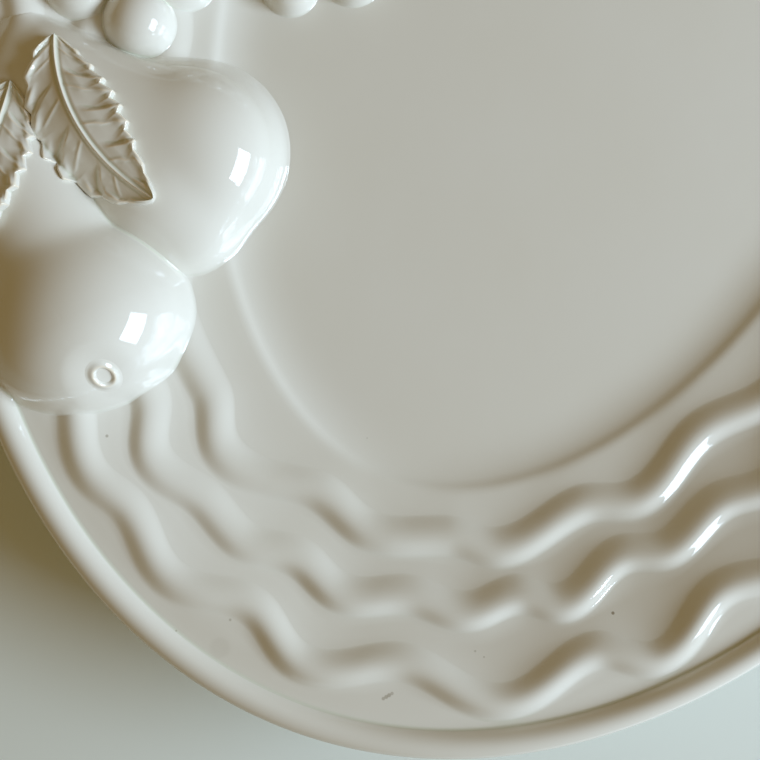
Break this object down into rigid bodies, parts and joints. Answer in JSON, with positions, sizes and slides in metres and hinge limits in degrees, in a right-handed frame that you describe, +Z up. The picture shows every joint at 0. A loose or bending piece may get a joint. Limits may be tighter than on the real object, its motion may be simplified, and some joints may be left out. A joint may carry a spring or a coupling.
{
  "type": "decorative wall plate",
  "caption": "Oval glazed earthenware wall plate with a beaded rim, wavy ridges round a sloping border, a raised swag of fruit and leaves down one side, and a foot ring to hang it by.",
  "frame": {"origin": "on the flat back of the foot ring, at the middle of its top, where the plate meets the wall", "axes": "the plate hangs upright: +X to the right as seen from the front, +Z up along the long axis of the oval, +Y into the wall, the face looks along -Y"},
  "size_m": [0.292, 0.0424, 0.4006],
  "materials": {
    "glaze": "cream-white earthenware under a clear glossy glaze, opaque"
  },
  "bodies": {
    "root": {"plate": "glaze"}
  },
  "joints": []
}
